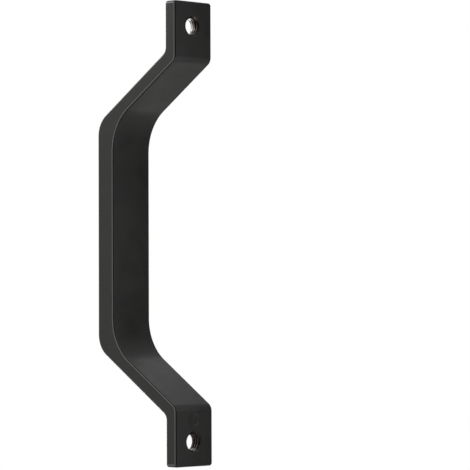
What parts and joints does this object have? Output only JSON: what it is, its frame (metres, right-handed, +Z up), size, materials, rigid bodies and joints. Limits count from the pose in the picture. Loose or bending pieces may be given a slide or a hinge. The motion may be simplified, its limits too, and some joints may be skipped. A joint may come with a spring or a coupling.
{
  "type": "barn door pull handle",
  "caption": "Flat-bar barn door pull with drilled feet, sloping legs and a thicker straight grip that stands off the door for the fingers.",
  "frame": {"origin": "midpoint between the screw holes, on the plane of the feet's door-side faces", "axes": "+Z up the length of the bar, +X across its width, +Y out of the door-side faces and into the door, so the grip stands off at -Y"},
  "size_m": [0.0254, 0.056, 0.23],
  "materials": {
    "powder_coat": "fine satin black powder coat",
    "bare_thread": "bare cut thread"
  },
  "bodies": {
    "root": {"pull_handle": "powder_coat"}
  },
  "joints": []
}
